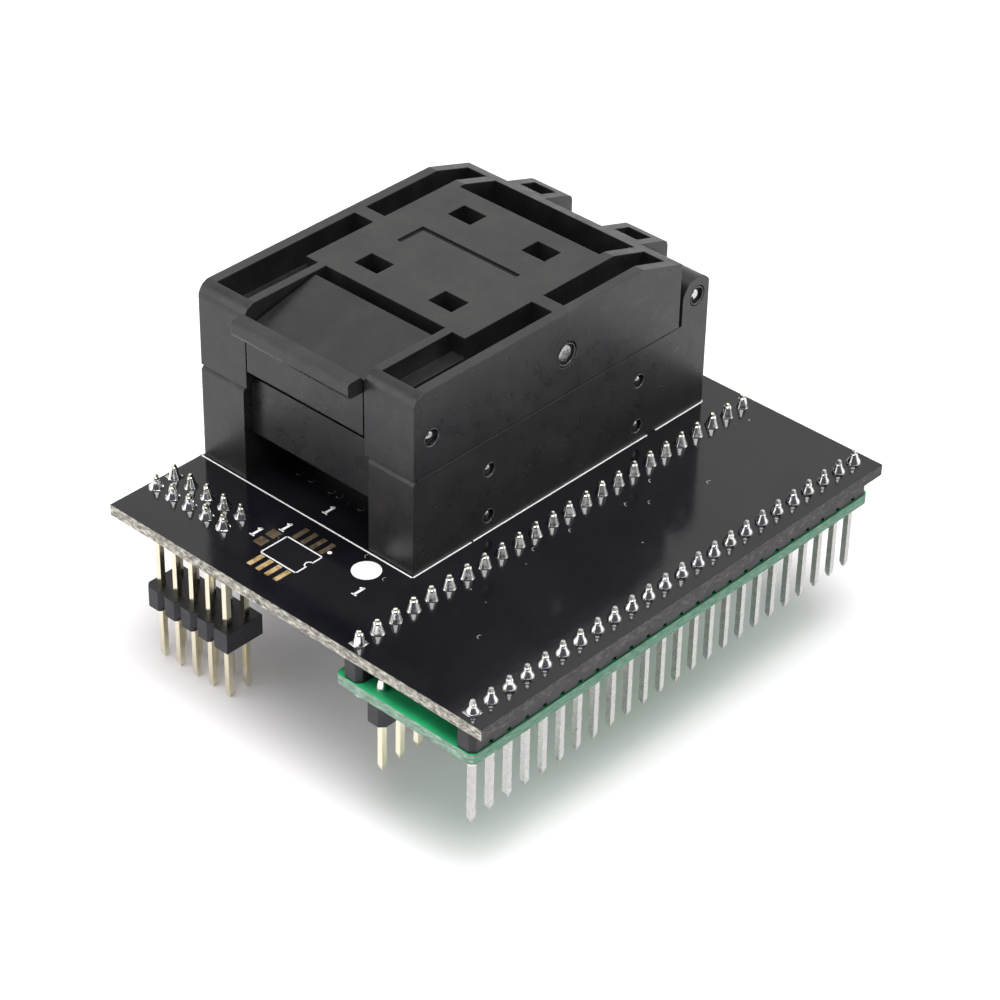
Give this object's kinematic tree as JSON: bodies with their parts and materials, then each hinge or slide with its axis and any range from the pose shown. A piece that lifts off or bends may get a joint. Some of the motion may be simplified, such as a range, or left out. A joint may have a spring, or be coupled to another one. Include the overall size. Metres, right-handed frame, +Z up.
{
  "type": "zif socket",
  "caption": "Clamshell zero insertion force socket: hinged lid with rocking pressure plate and pull latch over a floating chip nest, on stacked boards with header pins.",
  "frame": {"origin": "centre of the part's box in plan, level with the lowest pin tips, under the side header", "axes": "+X runs along the pin rows from the latch end towards the lid's hinge, +Y from the near pin row across the board, +Z up from the pin tips to the lid"},
  "size_m": [0.0618, 0.0528, 0.0433],
  "materials": {
    "moulding": "fine grained",
    "carrier_board": "glossy solder mask",
    "lower_board": "glossy solder mask",
    "header_body": "moulded",
    "tinned_pin": "tinned",
    "gilt_pin": "flash plated",
    "solder": "bright",
    "copper_pad": "plated",
    "steel_pin": "bright drawn",
    "spring_wire": "drawn",
    "contact_block": "machined"
  },
  "bodies": {
    "carrier": {"main_board": "carrier_board", "adapter_board": "lower_board", "near_header_strip": "header_body", "far_header_strip": "header_body", "inner_header_strip": "header_body", "side_header_strip": "header_body", "near_row_pins": "tinned_pin", "far_row_pins": "tinned_pin", "inner_row_pins": "gilt_pin", "side_header_pins": "gilt_pin", "near_solder_joints": "solder", "far_solder_joints": "solder", "side_solder_joints": "solder", "adapter_solder_joints": "solder", "chip_footprint_pads": "copper_pad", "socket_base": "moulding", "contact_block": "contact_block", "contact_pins": "gilt_pin", "contact_tails": "solder", "nest_springs": "spring_wire", "base_cross_pins": "steel_pin", "hinge_pin": "steel_pin", "hinge_springs": "spring_wire"},
    "lid": {"lid_frame": "moulding", "presser_pin": "steel_pin", "latch_pin": "steel_pin", "latch_springs": "spring_wire"},
    "presser": {"pressure_plate": "moulding", "presser_springs": "spring_wire"},
    "latch": {"latch_lever": "moulding"},
    "nest": {"chip_nest": "moulding"}
  },
  "joints": [
    {"name": "lid_hinge", "type": "hinge", "parent": "carrier", "child": "lid", "pos_m": [0.02483, 0.01043, 0.03634], "axis": [0, 1, 0], "range_deg": [0, 100]},
    {"name": "latch_pivot", "type": "hinge", "parent": "lid", "child": "latch", "pos_m": [-0.0154, 0.01043, 0.03767], "axis": [0, 1, 0], "range_deg": [-8, 0], "stiffness_Nm_per_rad": 0.004, "springref_deg": 8.59},
    {"name": "presser_rock", "type": "hinge", "parent": "lid", "child": "presser", "pos_m": [0.00425, 0.01043, 0.03833], "axis": [0, 1, 0], "range_deg": [-1.5, 1.5], "stiffness_Nm_per_rad": 0.01},
    {"name": "nest_float", "type": "slide", "parent": "carrier", "child": "nest", "axis": [0, 0, 1], "range_m": [-0.0005, 0], "stiffness_N_per_m": 150, "springref_m": 0.001, "deforming": ["nest_springs"]}
  ]
}
